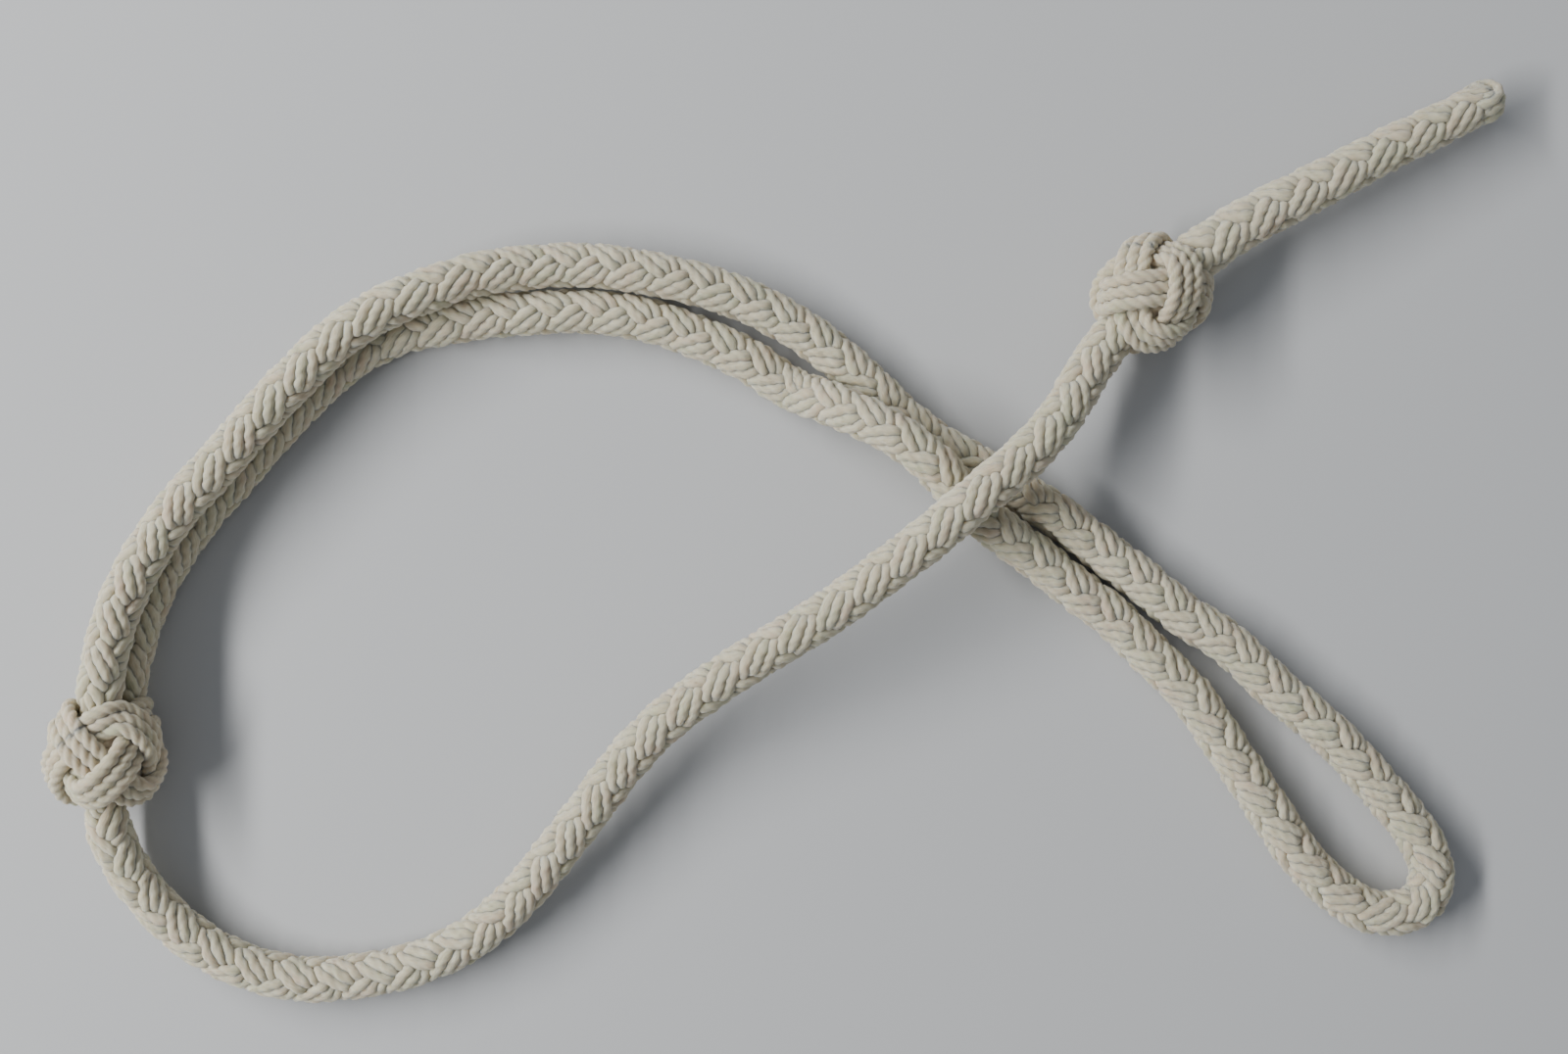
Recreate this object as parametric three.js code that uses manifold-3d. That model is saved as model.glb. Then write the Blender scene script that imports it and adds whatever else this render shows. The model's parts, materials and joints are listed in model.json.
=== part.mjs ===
// A hand-braided cotton rope halter, laid out on a flat surface.
//
// One round braid is doubled back on itself into a long eye. A base knot gathers the two legs of the eye,
// and a toggle knot near the other end is the ball that the eye slips over. Beyond it hangs a short tail.
// Millimetres, +Z up, the surface at z = 0, and the origin under the middle of the outline.

import * as THREE from "three";
import { mergeVertices } from "three/addons/utils/BufferGeometryUtils.js";
import Module from "manifold-3d";

const wasm = await Module();
wasm.setup();

// ---------------------------------------------------------------- driving dimensions

const BRAID_D = 11.2; // the round braid of four strands
const TAIL_D = 12.4; // the same braid, worked looser beyond the toggle knot
const KNOT_CORD_D = 4.0; // the cord that both knots are wound from
const SEIZING_T = 1.2; // the twine that binds the legs inside the base knot
const SEIZING_W = 4.0;
const SEIZING_AT = 1.2; // how far up the legs it starts
const BASE_KNOT_ACROSS = 32.2; // knots, measured flat on the surface
const BASE_KNOT_ALONG = 28.2;
const TOGGLE_KNOT_ACROSS = 30.0;
const TOGGLE_KNOT_ALONG = 28.4;
const CROWN_LENGTH = 9.0; // the rounded end of the tail
const CROWN_ROUNDING = 0.8; // how far its end stands out, as a share of its radius

const FIT_GAP = 0.3; // between solids that touch
const LEG_GAP = 0.7; // between the two legs, which turn over each other
const LIFT = 0.2; // fuzz that holds the braid off the surface
const SEAT = 0.5; // how far a knot's underside is pressed flat

const EYE_SWING = 20; // degrees each way that the eye's end bends
const DOME_SHARE = 0.96; // a rounded end just inside the faceted tube, as a share of the tube's radius
const CUP_SHARE = 0.56; // how far a cupped end stands back from the middle of the dome in it
const TAIL_PIVOT_OUT = 1.0; // how far outside the toggle knot the tail bends

const SECTION_SIDES = 12;
const LONG_STEP = 15; // a tube's step along a gentle stretch
const SHORT_STEP = 7; // and round a tight one
const BALL_SIDES = [24, 16]; // round a knot, and from one pole to the other
const DOME_SIDES = [12, 8];
const CROWN_SIDES = 20;
const CROWN_RINGS = 6;
const SLOT_SIDES = 10; // round each end of the seizing
const SAMPLES = 2000; // places tried along a curve when something is looked for on it

// ---------------------------------------------------------------- values that follow

const BRAID_R = BRAID_D / 2;
const DOME_R = DOME_SHARE * BRAID_R;
const CUP_BACK = CUP_SHARE * BRAID_R;
const TAIL_DOME_R = DOME_SHARE * (TAIL_D / 2);
const LYING = BRAID_R + LIFT; // height of the rope's middle where it lies
const PAIR_SPACING = BRAID_D + LEG_GAP; // middle to middle of two touching legs
const BASE_KNOT_HEIGHT = 2 * BRAID_D + LEG_GAP + 2 * KNOT_CORD_D; // one winding over two stacked legs
const TOGGLE_KNOT_HEIGHT = BRAID_D + 4 * KNOT_CORD_D; // two windings over one rope
const BASE_AXIS = BASE_KNOT_HEIGHT / 2 - SEAT;
const TOGGLE_AXIS = TOGGLE_KNOT_HEIGHT / 2 - SEAT;

// ---------------------------------------------------------------- the rope's route

// The two legs of the eye, from the base knot to where they part, as stations on the line between them:
// x, y, roll in degrees (90 has the outer leg on top, 0 has them side by side, less than 0 has the inner
// leg higher), extra space between them, and how far the pair is raised to the base knot's axis.
const PAIR_STATIONS = [
  [-165.0, -51.5, 80, 0, 1],
  [-165.0, -44.0, 80, 0, 1],
  [-163.5, -36.5, 78, 0, 0.9],
  [-162.0, -27.0, 76, 0, 0.65],
  [-158.5, -14.5, 75, 0, 0.3],
  [-152.5, -2.5, 75, 0, 0.08],
  [-144.5, 9.0, 75, 0, 0],
  [-135.0, 19.5, 76, 0, 0],
  [-126.0, 30.0, 76, 0, 0],
  [-116.5, 40.0, 75, 0, 0],
  [-106.0, 49.5, 70, 0, 0],
  [-95.0, 56.0, 62, 0, 0],
  [-84.0, 59.5, 48, 0, 0],
  [-73.0, 62.5, 33, 0, 0],
  [-60.5, 64.0, 22, 0, 0],
  [-46.0, 64.5, 18, 0, 0],
  [-31.0, 62.5, 18, 0, 0],
  [-16.5, 58.5, 10, 1.0, 0],
  [-3.5, 53.0, 5, 1.4, 0],
  [8.5, 45.5, 0, 1.6, 0],
  [20.5, 38.0, -38, 0, 0],
  [30.5, 31.0, -62, 0, 0],
  [40.5, 23.5, -66, 0, 0],
  [49.0, 17.0, -46, 0, 0],
  [57.5, 10.5, -26, 0, 0],
  [70.5, 1.5, -8, 0, 0],
  [80.0, -6.0, -5, 0, 0],
  [90.5, -14.0, 0, 0, 0],
  [100.0, -22.5, 0, 1.2, 0],
  [110.5, -31.0, 0, 4.0, 0],
];
const BEND_STATION = 26; // where the eye's end swings

// The eye beyond there: down the outer leg, round the bight and back up the inner leg, all of it lying.
const EYE_POINTS = [
  [128.0, -36.5],
  [140.0, -46.5],
  [150.0, -57.0],
  [159.5, -68.0],
  [165.0, -76.0],
  [167.0, -83.5],
  [164.5, -90.0],
  [158.0, -93.0],
  [150.0, -92.0],
  [141.5, -86.5],
  [133.0, -77.5],
  [126.0, -67.0],
  [118.5, -56.0],
  [111.5, -45.5],
];
const BIGHT_FROM = 3; // the bight runs between these two of the eye's points
const BIGHT_TO = 10;

// The standing part from the base knot down to the surface, as x, y and share of the knot's height.
const STANDING_DOWN = [
  [-164.5, -51.5, 1],
  [-165.0, -59.0, 1],
  [-165.0, -68.0, 0.85],
  [-162.0, -78.5, 0.58],
  [-155.0, -89.5, 0.34],
  [-145.5, -99.0, 0.16],
  [-133.0, -106.0, 0.06],
  [-119.0, -109.5, 0.02],
];
// Then up in a long low hump to the crossing, as x, y and share of the crossing's height.
const STANDING_UP = [
  [-105.0, -109.0, 0.01],
  [-90.5, -106.0, 0.04],
  [-77.0, -100.0, 0.09],
  [-64.5, -90.0, 0.17],
  [-54.5, -78.0, 0.27],
  [-45.5, -66.5, 0.36],
  [-36.5, -54.5, 0.44],
  [-26.5, -44.0, 0.52],
  [-14.0, -34.5, 0.61],
  [0.0, -25.5, 0.7],
  [14.5, -16.5, 0.79],
  [28.0, -6.5, 0.89],
  [41.0, 3.5, 0.98],
  [51.5, 12.5, 1],
];
// And down again into the toggle knot, as x, y and share of the way from its axis up to the crossing.
const FREE_END = [
  [64.0, 23.0, 0.74],
  [73.0, 33.5, 0.48],
  [79.5, 44.0, 0.22],
  [87.0, 54.0, 0.05],
  [95.0, 62.5, 0],
];
const FREE_BEND = 1; // the point of that list where the free end swings

// The tail, which leaves the toggle knot's axis and sinks towards its tip, as x, y and drop.
const TAIL_POINTS = [
  [95.0, 62.5, 0],
  [106.5, 72.0, 0.1],
  [119.0, 80.5, 0.3],
  [135.5, 89.0, 0.9],
  [152.5, 98.0, 1.7],
  [168.0, 105.5, 2.6],
  [180.4, 111.9, 3.4],
];

// ---------------------------------------------------------------- curves

const plan = ([x, y], z) => new THREE.Vector3(x, y, z);
const smooth = (points) => new THREE.CatmullRomCurve3(points, false, "centripetal");

/** The middle of each leg at each station of the pair: side 1 is the outer leg, -1 the inner one. */
function legPoints(side) {
  return PAIR_STATIONS.map(([x, y, roll, part, raise], i) => {
    const before = PAIR_STATIONS[Math.max(i - 1, 0)];
    const after = PAIR_STATIONS[Math.min(i + 1, PAIR_STATIONS.length - 1)];
    const along = new THREE.Vector2(after[0] - before[0], after[1] - before[1]).normalize();
    const half = (PAIR_SPACING + part) / 2;
    const angle = THREE.MathUtils.degToRad(roll);
    const resting = LYING + half * Math.abs(Math.sin(angle));
    const middle = resting + raise * (BASE_AXIS - resting);
    const out = side * half * Math.cos(angle);
    return new THREE.Vector3(x - along.y * out, y + along.x * out, middle + side * half * Math.sin(angle));
  });
}

/** Part of a curve between two lengths along it, which runs on straight past the curve's own ends. */
class Stretch extends THREE.Curve {
  constructor(whole, from, to) {
    super();
    this.whole = whole;
    this.from = from;
    this.to = to;
  }
  getPoint(t, target = new THREE.Vector3()) {
    const total = this.whole.getLength();
    const at = this.from + (this.to - this.from) * t;
    const inside = THREE.MathUtils.clamp(at, 0, total);
    const tangent = this.whole.getTangentAt(inside / total);
    return this.whole.getPointAt(inside / total, target).addScaledVector(tangent, at - inside);
  }
}

/** How far apart two places are on the surface, whatever their heights. */
const flatDistance = (a, b) => Math.hypot(a.x - b.x, a.y - b.y);

/** How far along a curve its nearest point to a place is. */
function lengthNear(curve, place) {
  const total = curve.getLength();
  const spaced = curve.getSpacedPoints(SAMPLES);
  let best = 0;
  spaced.forEach((p, i) => {
    if (p.distanceTo(place) < spaced[best].distanceTo(place)) best = i;
  });
  return (best / SAMPLES) * total;
}

// ---------------------------------------------------------------- solids

/** A closed geometry as a manifold-3d solid. */
function solid(geometry) {
  const bare = geometry.clone();
  for (const name of Object.keys(bare.attributes)) {
    if (name !== "position") bare.deleteAttribute(name);
  }
  const merged = mergeVertices(bare, 1e-4);
  return new wasm.Manifold(
    new wasm.Mesh({
      numProp: 3,
      vertProperties: Float32Array.from(merged.attributes.position.array),
      triVerts: Uint32Array.from(merged.index.array),
    }),
  );
}

/** A named mesh of a solid, with flat facets. */
function mesh(name, body, material) {
  const made = body.getMesh();
  const geometry = new THREE.BufferGeometry()
    .setAttribute("position", new THREE.BufferAttribute(Float32Array.from(made.vertProperties), 3))
    .setIndex(new THREE.BufferAttribute(Uint32Array.from(made.triVerts), 1));
  const flat = geometry.toNonIndexed();
  flat.computeVertexNormals();
  const result = new THREE.Mesh(flat, material);
  result.name = name;
  return result;
}

/** A round tube along a path, in a number of straight steps. */
function tube(path, diameter, steps) {
  const section = new THREE.Shape();
  for (let i = 0; i < SECTION_SIDES; i += 1) {
    const angle = (2 * Math.PI * i) / SECTION_SIDES;
    const x = (diameter / 2) * Math.cos(angle);
    const y = (diameter / 2) * Math.sin(angle);
    if (i === 0) section.moveTo(x, y);
    else section.lineTo(x, y);
  }
  section.closePath();
  return solid(new THREE.ExtrudeGeometry(section, { steps, extrudePath: path, bevelEnabled: false }));
}

/** How many steps of a given length a span of rope takes. */
const stepsIn = ([from, to], step) => Math.ceil((to - from) / step);

/** A ball at the end of a tube, which rounds it off. */
function dome(place, radius) {
  return solid(new THREE.SphereGeometry(radius, ...DOME_SIDES).translate(place.x, place.y, place.z));
}

/** A knot's ball: an ellipsoid whose along axis points the way the rope runs through it. */
function ball(centre, along, size) {
  const turn = Math.atan2(along.y, along.x);
  const round = new THREE.SphereGeometry(1, ...BALL_SIDES)
    .scale(size.along / 2, size.across / 2, size.height / 2)
    .rotateZ(turn)
    .translate(centre.x, centre.y, centre.z);
  const under = new THREE.BoxGeometry(4 * size.across, 4 * size.across, size.height)
    .translate(centre.x, centre.y, -size.height / 2);
  return solid(round).subtract(solid(under));
}

/** How far along a curve it comes out of a knot's ball, starting from inside. */
function mouth(curve, centre, along, size) {
  const turn = Math.atan2(along.y, along.x);
  const outside = curve.getSpacedPoints(SAMPLES).findIndex((place) => {
    const p = place.sub(centre).applyAxisAngle(new THREE.Vector3(0, 0, 1), -turn);
    return Math.hypot(p.x / (size.along / 2), p.y / (size.across / 2), p.z / (size.height / 2)) > 1;
  });
  return (outside / SAMPLES) * curve.getLength();
}

/** A slot-shaped block that reaches round two parallel ropes. */
function slotBlock(radius, spacing, width) {
  const shape = new THREE.Shape();
  shape.absarc(spacing / 2, 0, radius, -Math.PI / 2, Math.PI / 2, false);
  shape.absarc(-spacing / 2, 0, radius, Math.PI / 2, (3 * Math.PI) / 2, false);
  shape.closePath();
  return new THREE.ExtrudeGeometry(shape, { depth: width, bevelEnabled: false, curveSegments: SLOT_SIDES });
}

// ---------------------------------------------------------------- the rope as curves

const outerLeg = legPoints(1);
const innerLeg = legPoints(-1);
const eyePoints = EYE_POINTS.map((p) => plan(p, LYING));
const eyeRope = smooth([...outerLeg, ...eyePoints, ...innerLeg.slice().reverse()]);
const eyeLength = eyeRope.getLength();

// The crossing's height clears the higher leg where the standing part passes over it.
const crossing = plan(STANDING_UP.at(-1), 0);
const higherLeg = smooth(innerLeg)
  .getSpacedPoints(SAMPLES)
  .reduce((a, b) => (flatDistance(a, crossing) < flatDistance(b, crossing) ? a : b));
const OVER = higherLeg.z + BRAID_D + 2 * FIT_GAP;

const standingRope = smooth([
  ...STANDING_DOWN.map((p) => plan(p, LYING + p[2] * (BASE_AXIS - LYING))),
  ...STANDING_UP.map((p) => plan(p, LYING + p[2] * (OVER - LYING))),
  ...FREE_END.map((p) => plan(p, TOGGLE_AXIS + p[2] * (OVER - TOGGLE_AXIS))),
]);
const tailRope = smooth(TAIL_POINTS.map((p) => plan(p, TOGGLE_AXIS - p[2])));

// ---------------------------------------------------------------- materials

const cotton = (color) => new THREE.MeshStandardMaterial({ color, roughness: 0.95, metalness: 0 });
const braidCotton = cotton(0xd8d4c6);
const knotCotton = cotton(0xd3cdbd);
const twine = cotton(0xcbc3ae);

// ---------------------------------------------------------------- the eye

const bendOuter = lengthNear(eyeRope, outerLeg[BEND_STATION]);
const bendInner = lengthNear(eyeRope, innerLeg[BEND_STATION]);
const bightStart = lengthNear(eyeRope, eyePoints[BIGHT_FROM]);
const bightEnd = lengthNear(eyeRope, eyePoints[BIGHT_TO]);

// Both legs bend about one place between them, so each dome slides along its leg as the eye's end swings.
const eyeSwing = THREE.MathUtils.degToRad(EYE_SWING);
const EYE_SLIDE = (PAIR_SPACING / 2) * Math.sin(eyeSwing);
const EYE_SLACK = (PAIR_SPACING / 2) * (1 - Math.cos(eyeSwing));

/** A span of the eye as a tube, with rounded ends where asked. */
function eyeTube(span, step, domes = []) {
  const path = new Stretch(eyeRope, ...span);
  let body = tube(path, BRAID_D, stepsIn(span, step));
  for (const end of domes) body = body.add(dome(path.getPoint(end), DOME_R));
  return body;
}

/** The cup that a leg's dome slides in. */
function eyeCup(at) {
  return dome(eyeRope.getPointAt(at / eyeLength), BRAID_R + FIT_GAP + EYE_SLACK);
}

const outerSpan = [FIT_GAP, bendOuter - EYE_SLIDE - CUP_BACK];
const innerSpan = [bendInner + EYE_SLIDE + CUP_BACK, eyeLength - FIT_GAP];
const eyeLegOuter = eyeTube(outerSpan, LONG_STEP).subtract(eyeCup(bendOuter - EYE_SLIDE));
const eyeLegInner = eyeTube(innerSpan, LONG_STEP).subtract(eyeCup(bendInner + EYE_SLIDE));
const eyeEndOuter = eyeTube([bendOuter, bightStart - FIT_GAP / 2], LONG_STEP, [0]);
const eyeBight = eyeTube([bightStart + FIT_GAP / 2, bightEnd - FIT_GAP / 2], SHORT_STEP);
const eyeEndInner = eyeTube([bightEnd + FIT_GAP / 2, bendInner], LONG_STEP, [1]);

// ---------------------------------------------------------------- the standing part and the free end

const standingLength = standingRope.getLength();
const FREE_POINT = FREE_END[FREE_BEND];
const freeHeight = TOGGLE_AXIS + FREE_POINT[2] * (OVER - TOGGLE_AXIS);
const freeBend = lengthNear(standingRope, plan(FREE_POINT, freeHeight));
const standingSpan = [FIT_GAP, freeBend - CUP_BACK];
const standingPath = new Stretch(standingRope, ...standingSpan);
const freeSpan = [freeBend, standingLength - FIT_GAP];
const freePath = new Stretch(standingRope, ...freeSpan);
const standingBraid = tube(standingPath, BRAID_D, stepsIn(standingSpan, LONG_STEP))
  .subtract(dome(freePath.getPoint(0), BRAID_R + FIT_GAP));
const freeEndBraid = tube(freePath, BRAID_D, stepsIn(freeSpan, SHORT_STEP))
  .add(dome(freePath.getPoint(0), DOME_R));

// ---------------------------------------------------------------- the base knot and its seizing

/** The way through a knot for a span of rope: the span's own tube, grown all round and past its inner end. */
function channel(whole, span, step, past) {
  const [from, to] = span;
  const path = past < 0 ? new Stretch(whole, from + past, to) : new Stretch(whole, from, to + past);
  return tube(path, BRAID_D + 2 * FIT_GAP, stepsIn(span, step));
}

const baseCentre = plan(PAIR_STATIONS[0], BASE_AXIS);
const baseAlong = plan(PAIR_STATIONS[1], 0).sub(plan(STANDING_DOWN[1], 0)).normalize();
const baseSize = { across: BASE_KNOT_ACROSS, along: BASE_KNOT_ALONG, height: BASE_KNOT_HEIGHT };

/** The block that the seizing is cut from, at its place round the legs, grown by an amount all round. */
function seizingBlock(grow) {
  const across = outerLeg[0].clone().sub(innerLeg[0]).normalize();
  const along = outerLeg[1].clone().sub(outerLeg[0]).normalize();
  const start = outerLeg[0].clone().add(innerLeg[0]).multiplyScalar(0.5);
  start.addScaledVector(along, SEIZING_AT - grow);
  const place = new THREE.Matrix4().makeBasis(across, along.clone().cross(across), along).setPosition(start);
  const radius = BRAID_R + FIT_GAP + SEIZING_T + grow;
  return solid(slotBlock(radius, PAIR_SPACING, SEIZING_W + 2 * grow).applyMatrix4(place));
}

const legChannels = channel(eyeRope, outerSpan, LONG_STEP, -2 * FIT_GAP)
  .add(channel(eyeRope, innerSpan, LONG_STEP, 2 * FIT_GAP));
const baseSeizing = seizingBlock(0).subtract(legChannels);
const baseKnot = ball(baseCentre, baseAlong, baseSize)
  .subtract(legChannels)
  .subtract(channel(standingRope, standingSpan, LONG_STEP, -2 * FIT_GAP))
  .subtract(seizingBlock(FIT_GAP));

// ---------------------------------------------------------------- the toggle knot and the tail

const toggleCentre = plan(TAIL_POINTS[0], TOGGLE_AXIS);
const toggleAlong = plan(TAIL_POINTS[1], 0).sub(plan(FREE_END.at(-2), 0)).normalize();
const toggleSize = { across: TOGGLE_KNOT_ACROSS, along: TOGGLE_KNOT_ALONG, height: TOGGLE_KNOT_HEIGHT };
const tailBend = mouth(tailRope, toggleCentre, toggleAlong, toggleSize) + TAIL_PIVOT_OUT;
const tailPivot = tailRope.getPointAt(tailBend / tailRope.getLength());
const toggleKnot = ball(toggleCentre, toggleAlong, toggleSize)
  .subtract(channel(standingRope, freeSpan, SHORT_STEP, FIT_GAP))
  .subtract(dome(tailPivot, TAIL_D / 2 + FIT_GAP));

const tailEnd = tailRope.getLength() - CROWN_LENGTH;
const tailSpan = [tailBend, tailEnd];
const tailPath = new Stretch(tailRope, ...tailSpan);
const tailBraid = tube(tailPath, TAIL_D, stepsIn(tailSpan, LONG_STEP))
  .add(dome(tailPath.getPoint(0), TAIL_DOME_R));

/** The rounded end: a short cylinder with a domed top, turned about the tail's own line. */
function crownSolid() {
  const radius = BRAID_R;
  const rounding = CROWN_ROUNDING * radius;
  const straight = CROWN_LENGTH - FIT_GAP - rounding;
  const profile = [new THREE.Vector2(0, 0), new THREE.Vector2(radius, 0)];
  for (let i = 0; i <= CROWN_RINGS; i += 1) {
    const angle = (i / CROWN_RINGS) * (Math.PI / 2);
    profile.push(new THREE.Vector2(radius * Math.cos(angle), straight + rounding * Math.sin(angle)));
  }
  const path = new Stretch(tailRope, tailEnd + FIT_GAP, tailRope.getLength());
  const start = path.getPoint(0);
  const along = path.getPoint(1).sub(start).normalize();
  const turn = new THREE.Quaternion().setFromUnitVectors(new THREE.Vector3(0, 1, 0), along);
  const shape = new THREE.LatheGeometry(profile, CROWN_SIDES).applyQuaternion(turn);
  return solid(shape.translate(start.x, start.y, start.z));
}

// ---------------------------------------------------------------- the assembly

const halter = new THREE.Group();
halter.name = "rope_halter";
halter.add(
  mesh("base_knot", baseKnot, knotCotton),
  mesh("base_seizing", baseSeizing, twine),
  mesh("eye_leg_outer", eyeLegOuter, braidCotton),
  mesh("eye_leg_inner", eyeLegInner, braidCotton),
  mesh("eye_end_outer", eyeEndOuter, braidCotton),
  mesh("eye_end_inner", eyeEndInner, braidCotton),
  mesh("eye_bight", eyeBight, braidCotton),
  mesh("standing_braid", standingBraid, braidCotton),
  mesh("free_end_braid", freeEndBraid, braidCotton),
  mesh("toggle_knot", toggleKnot, knotCotton),
  mesh("tail_braid", tailBraid, braidCotton),
  mesh("tail_crown", crownSolid(), braidCotton),
);

// The origin goes under the middle of the outline.
const outline = new THREE.Box3().setFromObject(halter);
const middle = outline.getCenter(new THREE.Vector3());
halter.position.set(-middle.x, -middle.y, -outline.min.z);

export default halter;
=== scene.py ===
"""A hand-braided cotton rope halter, dressed for rendering.

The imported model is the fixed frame. One round braid of four strands runs as a long doubled eye, as a
standing part that crosses over it, and as a short tail. Two ball knots, wound from cord, gather it.
Lengths are in millimetres inside the classes and become metres when a mesh is made.
"""

from __future__ import annotations

import json
import logging
import math
from dataclasses import dataclass, field
from typing import Mapping, Sequence

import bpy
import numpy as np
from mathutils import Vector
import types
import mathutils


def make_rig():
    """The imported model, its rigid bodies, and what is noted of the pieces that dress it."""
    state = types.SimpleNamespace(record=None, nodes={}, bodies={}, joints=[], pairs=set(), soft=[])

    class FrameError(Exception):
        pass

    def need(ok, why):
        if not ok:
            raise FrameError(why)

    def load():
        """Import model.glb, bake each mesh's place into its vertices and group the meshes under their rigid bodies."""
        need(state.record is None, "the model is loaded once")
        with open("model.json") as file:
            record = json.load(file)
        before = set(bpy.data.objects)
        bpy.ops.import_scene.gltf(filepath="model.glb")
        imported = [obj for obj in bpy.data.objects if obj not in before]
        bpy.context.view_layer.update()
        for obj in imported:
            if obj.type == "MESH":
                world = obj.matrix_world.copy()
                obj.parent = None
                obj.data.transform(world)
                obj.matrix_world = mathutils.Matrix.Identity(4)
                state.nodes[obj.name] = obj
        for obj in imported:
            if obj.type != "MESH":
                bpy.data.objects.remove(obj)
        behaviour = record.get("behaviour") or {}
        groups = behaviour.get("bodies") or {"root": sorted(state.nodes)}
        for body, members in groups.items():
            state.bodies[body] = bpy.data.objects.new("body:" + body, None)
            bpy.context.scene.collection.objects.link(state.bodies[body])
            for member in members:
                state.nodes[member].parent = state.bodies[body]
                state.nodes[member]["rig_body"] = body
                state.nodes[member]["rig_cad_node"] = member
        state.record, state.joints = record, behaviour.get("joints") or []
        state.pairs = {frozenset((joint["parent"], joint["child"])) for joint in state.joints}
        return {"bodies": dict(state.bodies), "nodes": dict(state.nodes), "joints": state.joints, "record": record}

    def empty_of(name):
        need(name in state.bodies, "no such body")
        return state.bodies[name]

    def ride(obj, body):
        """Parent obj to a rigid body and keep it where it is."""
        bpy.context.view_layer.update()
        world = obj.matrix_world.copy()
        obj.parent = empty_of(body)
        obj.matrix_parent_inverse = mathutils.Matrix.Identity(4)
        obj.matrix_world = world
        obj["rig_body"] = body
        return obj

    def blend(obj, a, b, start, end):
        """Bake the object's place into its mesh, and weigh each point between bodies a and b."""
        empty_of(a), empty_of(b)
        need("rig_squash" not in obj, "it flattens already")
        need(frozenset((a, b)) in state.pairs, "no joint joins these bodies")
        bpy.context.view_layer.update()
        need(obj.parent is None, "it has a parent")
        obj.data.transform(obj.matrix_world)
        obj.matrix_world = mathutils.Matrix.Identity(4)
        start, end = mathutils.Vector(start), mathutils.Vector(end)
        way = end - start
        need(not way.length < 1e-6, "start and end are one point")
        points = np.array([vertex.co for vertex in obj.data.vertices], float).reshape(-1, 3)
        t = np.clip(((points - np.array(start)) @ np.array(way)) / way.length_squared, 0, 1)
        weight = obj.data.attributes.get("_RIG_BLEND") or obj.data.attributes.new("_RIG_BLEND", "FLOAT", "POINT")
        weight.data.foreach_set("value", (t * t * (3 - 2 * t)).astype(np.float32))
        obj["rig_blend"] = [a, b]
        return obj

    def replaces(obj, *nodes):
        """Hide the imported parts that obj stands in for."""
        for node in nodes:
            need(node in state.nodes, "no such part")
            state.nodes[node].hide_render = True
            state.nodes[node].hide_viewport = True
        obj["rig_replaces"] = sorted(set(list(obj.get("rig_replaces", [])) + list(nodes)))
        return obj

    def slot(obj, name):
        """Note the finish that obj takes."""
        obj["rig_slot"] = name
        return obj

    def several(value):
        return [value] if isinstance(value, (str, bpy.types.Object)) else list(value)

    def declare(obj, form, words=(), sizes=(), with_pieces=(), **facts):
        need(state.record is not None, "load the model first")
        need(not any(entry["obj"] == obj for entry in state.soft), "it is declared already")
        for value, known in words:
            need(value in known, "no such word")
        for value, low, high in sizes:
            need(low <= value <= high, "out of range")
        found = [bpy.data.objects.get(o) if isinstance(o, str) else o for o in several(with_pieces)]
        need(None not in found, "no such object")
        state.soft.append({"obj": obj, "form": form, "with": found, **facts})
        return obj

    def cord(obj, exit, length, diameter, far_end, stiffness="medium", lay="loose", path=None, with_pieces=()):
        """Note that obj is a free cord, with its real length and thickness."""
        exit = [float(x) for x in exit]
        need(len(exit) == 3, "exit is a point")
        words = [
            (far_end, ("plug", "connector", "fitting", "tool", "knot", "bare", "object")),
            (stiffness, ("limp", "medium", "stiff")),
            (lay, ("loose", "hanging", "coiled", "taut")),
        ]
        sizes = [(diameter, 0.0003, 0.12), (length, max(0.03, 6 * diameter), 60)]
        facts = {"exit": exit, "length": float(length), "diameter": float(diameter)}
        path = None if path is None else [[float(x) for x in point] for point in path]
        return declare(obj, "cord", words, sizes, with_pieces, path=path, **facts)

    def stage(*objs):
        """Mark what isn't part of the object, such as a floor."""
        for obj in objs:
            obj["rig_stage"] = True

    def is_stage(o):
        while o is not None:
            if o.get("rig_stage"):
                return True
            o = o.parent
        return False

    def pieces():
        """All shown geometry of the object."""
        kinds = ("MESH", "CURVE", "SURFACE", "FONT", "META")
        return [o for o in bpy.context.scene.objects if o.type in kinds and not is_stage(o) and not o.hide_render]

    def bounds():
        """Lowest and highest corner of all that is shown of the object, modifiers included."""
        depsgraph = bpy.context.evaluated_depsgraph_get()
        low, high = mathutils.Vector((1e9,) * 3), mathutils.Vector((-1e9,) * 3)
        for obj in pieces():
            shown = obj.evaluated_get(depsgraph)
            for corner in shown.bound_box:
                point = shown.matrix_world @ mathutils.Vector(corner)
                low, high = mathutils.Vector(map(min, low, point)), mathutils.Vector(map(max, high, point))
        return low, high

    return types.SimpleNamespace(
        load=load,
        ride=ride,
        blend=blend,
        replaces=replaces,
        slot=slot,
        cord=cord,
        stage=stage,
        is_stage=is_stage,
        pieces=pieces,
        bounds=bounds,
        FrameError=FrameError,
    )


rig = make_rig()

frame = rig.load()
CAD_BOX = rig.bounds()

LOG = logging.getLogger("rope_halter")
MM = 0.001
UP = np.array([0.0, 0.0, 1.0])
SEED = 20
TINY = 1e-9
END_POINT = 0.02  # a cord's domed end stops at this share of its radius
MAP_LENGTH = 400.0  # each cord's map starts somewhere in this many millimetres
NEIGHBOURS = 4  # points of a cord nearer than this along it don't push each other
CROSSING_GAIN = 1.155  # a knot's height wave is only at the sine of 60 degrees at each crossing

Array = np.ndarray


# ---------------------------------------------------------------- lines


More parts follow.
